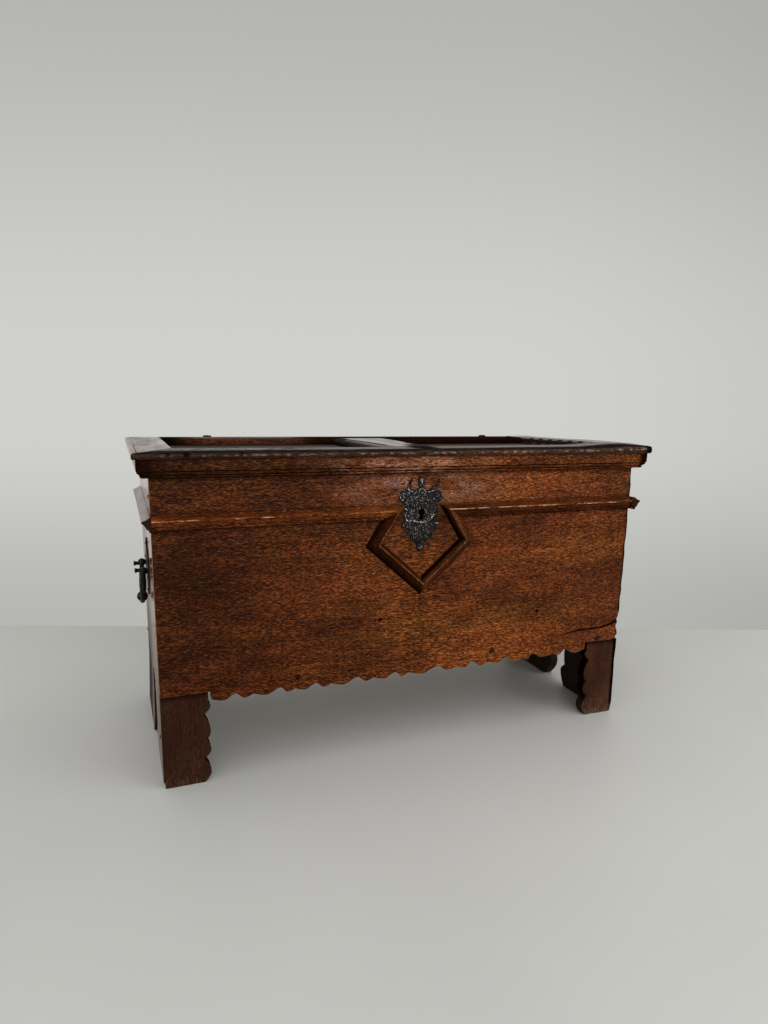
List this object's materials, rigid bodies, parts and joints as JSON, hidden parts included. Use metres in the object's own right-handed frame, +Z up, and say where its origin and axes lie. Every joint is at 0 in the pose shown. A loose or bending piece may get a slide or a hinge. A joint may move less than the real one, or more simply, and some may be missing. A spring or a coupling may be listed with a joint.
{
  "type": "coffer chest",
  "caption": "Planked oak coffer with a framed lid on strap hinges, a moulded string course round an iron lock plate, scalloped apron and feet, and a drop handle at each end.",
  "frame": {"origin": "bottom centre of the whole chest's bounding box, on the floor", "axes": "+X runs right along the front, +Y to the back, +Z up"},
  "size_m": [1.264, 0.588, 0.729],
  "materials": {
    "oak": "old waxed oak, dark red-brown, semi-gloss",
    "dark_oak": "old waxed oak, nearly black-brown",
    "plain_oak": "unfinished aged oak",
    "iron": "wrought, blackened and worn"
  },
  "bodies": {
    "chest_body": {"back_board": "plain_oak", "escutcheon": "iron", "front_board": "oak", "front_bottom_board": "plain_oak", "left_floor_batten": "plain_oak", "left_front_foot": "dark_oak", "left_front_string_course": "oak", "left_handle_front_eye": "iron", "left_handle_plate": "iron", "left_handle_rear_eye": "iron", "left_hinge_back_leaf": "iron", "left_hinge_pin": "iron", "left_side_board": "oak", "left_side_string_course": "oak", "lock_case": "iron", "lower_left_kite_moulding": "oak", "lower_right_kite_moulding": "oak", "middle_bottom_board": "plain_oak", "rear_bottom_board": "plain_oak", "right_floor_batten": "plain_oak", "right_front_foot": "dark_oak", "right_front_string_course": "oak", "right_handle_front_eye": "iron", "right_handle_plate": "iron", "right_handle_rear_eye": "iron", "right_hinge_back_leaf": "iron", "right_hinge_pin": "iron", "right_side_board": "oak", "right_side_string_course": "oak", "upper_left_kite_moulding": "oak", "upper_right_kite_moulding": "oak"},
    "lid": {"front_lid_moulding": "oak", "front_lid_rail": "oak", "left_hinge_lid_strap": "iron", "left_lid_end_rail": "oak", "left_lid_moulding": "oak", "left_lid_panel": "oak", "lid_muntin": "oak", "lock_hasp": "iron", "rear_lid_rail": "oak", "right_hinge_lid_strap": "iron", "right_lid_end_rail": "oak", "right_lid_moulding": "oak", "right_lid_panel": "oak"},
    "left_bail": {"left_bail": "iron"},
    "right_bail": {"right_bail": "iron"},
    "lock_bolt": {"lock_bolt": "iron"}
  },
  "joints": [
    {"name": "lid_hinge", "type": "hinge", "parent": "chest_body", "child": "lid", "pos_m": [0, 0.286, 0.721], "axis": [-1, 0, 0], "range_deg": [0, 100]},
    {"name": "left_bail_swing", "type": "hinge", "parent": "chest_body", "child": "left_bail", "pos_m": [-0.60884, -0.01, 0.435], "axis": [0, 1, 0], "range_deg": [0, 95]},
    {"name": "right_bail_swing", "type": "hinge", "parent": "chest_body", "child": "right_bail", "pos_m": [0.60884, -0.01, 0.435], "axis": [0, -1, 0], "range_deg": [0, 95]},
    {"name": "lock_bolt_slide", "type": "slide", "parent": "chest_body", "child": "lock_bolt", "axis": [1, 0, 0], "range_m": [0, 0.022]}
  ]
}
